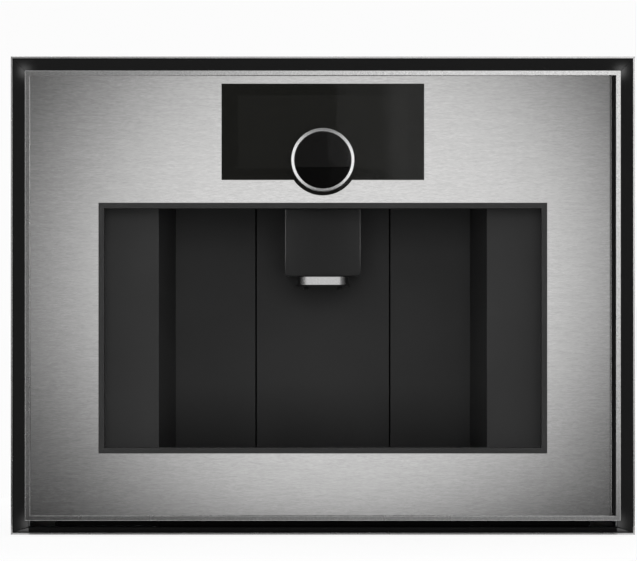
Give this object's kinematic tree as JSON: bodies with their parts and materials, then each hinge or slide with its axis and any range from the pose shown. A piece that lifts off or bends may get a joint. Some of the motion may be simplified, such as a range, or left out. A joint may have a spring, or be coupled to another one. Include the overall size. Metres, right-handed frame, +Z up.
{
  "type": "built-in coffee machine",
  "caption": "Built-in bean-to-cup coffee machine with a floating brushed steel door, display, control ring, cup niche and height-adjustable outlet.",
  "frame": {"origin": "middle of the machine's width and depth, on the surface that its skids stand on", "axes": "+X to the right seen from the front, +Y towards the wall, +Z up; the door is on the -Y side"},
  "size_m": [0.594, 0.5526, 0.455],
  "materials": {
    "brushed_steel": "horizontally brushed stainless steel",
    "rim_steel": "fine matt stainless steel",
    "surround_black": "glossy black enamel with a bare steel outer edge",
    "opening_trim": "satin anthracite",
    "niche_plastic": "fine-grained satin black moulding",
    "cover_plastic": "fine-grained anthracite moulding",
    "display_glass": "black-backed glass",
    "control_chrome": "turned and polished",
    "door_liner": "black moulding",
    "galvanised_sheet": "galvanised sheet",
    "skid_rubber": "matt",
    "tank_clear": "smoked clear plastic with an anthracite front",
    "tray_plastic": "satin black moulding",
    "grate_steel": "brushed stainless steel",
    "float_red": "moulded",
    "cast_metal": "die-cast, matt",
    "white_plastic": "moulded",
    "gear_plastic": "moulded",
    "burr_ceramic": "fired ceramic",
    "circuit_board": "soldered board with components"
  },
  "bodies": {
    "root": {"surround_top_rail": "surround_black", "surround_bottom_rail": "surround_black", "surround_left_rail": "surround_black", "surround_right_rail": "surround_black", "base_plate": "galvanised_sheet", "left_side_panel": "galvanised_sheet", "right_side_panel": "galvanised_sheet", "top_cover": "galvanised_sheet", "rear_panel": "galvanised_sheet", "left_skid": "skid_rubber", "right_skid": "skid_rubber", "upper_deck": "niche_plastic", "upper_fascia": "cover_plastic", "left_bay_cover": "cover_plastic", "niche_side_left": "niche_plastic", "niche_side_right": "niche_plastic", "niche_back_left": "niche_plastic", "niche_back_centre": "niche_plastic", "niche_back_right": "niche_plastic", "outlet_guide": "white_plastic", "upper_hinge_bracket": "cast_metal", "lower_hinge_bracket": "cast_metal", "upper_hinge_pin": "control_chrome", "lower_hinge_pin": "control_chrome", "latch_striker": "cast_metal", "grinder_housing": "cast_metal", "grinder_motor": "galvanised_sheet", "upper_burr": "burr_ceramic", "brew_cylinder": "white_plastic", "brew_motor": "galvanised_sheet", "water_pump": "cast_metal", "thermoblock": "cast_metal", "control_board": "circuit_board", "mains_inlet": "tray_plastic"},
    "door": {"door_rim": "rim_steel", "door_panel": "brushed_steel", "door_liner": "door_liner", "opening_trim": "opening_trim", "display_glass": "display_glass", "display_module": "circuit_board", "knob_core": "display_glass"},
    "ring": {"control_ring": "control_chrome"},
    "latch": {"latch_hook": "control_chrome"},
    "outlet": {"outlet_housing": "cover_plastic", "outlet_steel_block": "brushed_steel", "outlet_spout_plate": "tray_plastic"},
    "outlet_cover": {"outlet_front_cover": "cover_plastic"},
    "tray": {"drip_tray": "tray_plastic", "grounds_container": "cover_plastic"},
    "grate": {"drip_grate": "grate_steel"},
    "float": {"tray_float": "float_red"},
    "tank": {"water_tank": "tank_clear", "water_tank_lid": "cover_plastic"},
    "beans": {"bean_container": "tank_clear", "bean_container_lid": "cover_plastic"},
    "grinder_rotor": {"lower_burr": "burr_ceramic", "burr_gear": "gear_plastic"},
    "pinion": {"motor_pinion": "cast_metal"},
    "piston": {"brew_piston": "cast_metal"},
    "spindle": {"brew_spindle": "galvanised_sheet"}
  },
  "joints": [
    {"name": "door_swing", "type": "hinge", "parent": "root", "child": "door", "pos_m": [-0.2706, -0.2427, 0.22745], "axis": [0, 0, -1], "range_deg": [0, 110]},
    {"name": "control_ring_turn", "type": "hinge", "parent": "door", "child": "ring", "pos_m": [0, -0.2675, 0.3554], "axis": [0, -1, 0], "continuous": true},
    {"name": "latch_turn", "type": "hinge", "parent": "door", "child": "latch", "pos_m": [0.2631, -0.2417, 0.22745], "axis": [0, 0, 1], "range_deg": [0, 12], "stiffness_Nm_per_rad": 0.5},
    {"name": "outlet_height", "type": "slide", "parent": "root", "child": "outlet", "axis": [0, 0, 1], "range_m": [-0.07, 0]},
    {"name": "outlet_cover_pull", "type": "slide", "parent": "outlet", "child": "outlet_cover", "axis": [0, -1, 0], "range_m": [0, 0.04]},
    {"name": "tray_slide", "type": "slide", "parent": "root", "child": "tray", "axis": [0, -1, 0], "range_m": [0, 0.2]},
    {"name": "grate_lift", "type": "slide", "parent": "tray", "child": "grate", "axis": [0, 0, 1], "range_m": [0, 0.04]},
    {"name": "float_rise", "type": "slide", "parent": "tray", "child": "float", "axis": [0, 0, 1], "range_m": [0, 0.008]},
    {"name": "tank_slide", "type": "slide", "parent": "root", "child": "tank", "axis": [0, -1, 0], "range_m": [0, 0.2]},
    {"name": "bean_slide", "type": "slide", "parent": "root", "child": "beans", "axis": [0, -1, 0], "range_m": [0, 0.15]},
    {"name": "grinder_turn", "type": "hinge", "parent": "root", "child": "grinder_rotor", "pos_m": [0.12, -0.0597, 0.27], "axis": [0, 0, 1], "continuous": true},
    {"name": "pinion_turn", "type": "hinge", "parent": "root", "child": "pinion", "pos_m": [0.188, -0.0597, 0.251], "axis": [0, 0, 1], "continuous": true},
    {"name": "piston_lift", "type": "slide", "parent": "root", "child": "piston", "axis": [0, 0, 1], "range_m": [0, 0.045]},
    {"name": "spindle_turn", "type": "hinge", "parent": "root", "child": "spindle", "pos_m": [0.03, 0.0043, 0.15], "axis": [0, 0, 1], "range_deg": [-2, 1082]}
  ],
  "couplings": [
    {"joint": "tray_slide", "follows": "door_swing", "m_per_rad": 0.104},
    {"joint": "tank_slide", "follows": "door_swing", "m_per_rad": 0.104},
    {"joint": "bean_slide", "follows": "door_swing", "m_per_rad": 0.078},
    {"joint": "pinion_turn", "follows": "grinder_turn", "ratio": -3.25},
    {"joint": "spindle_turn", "follows": "piston_lift", "rad_per_m": 418.88}
  ]
}
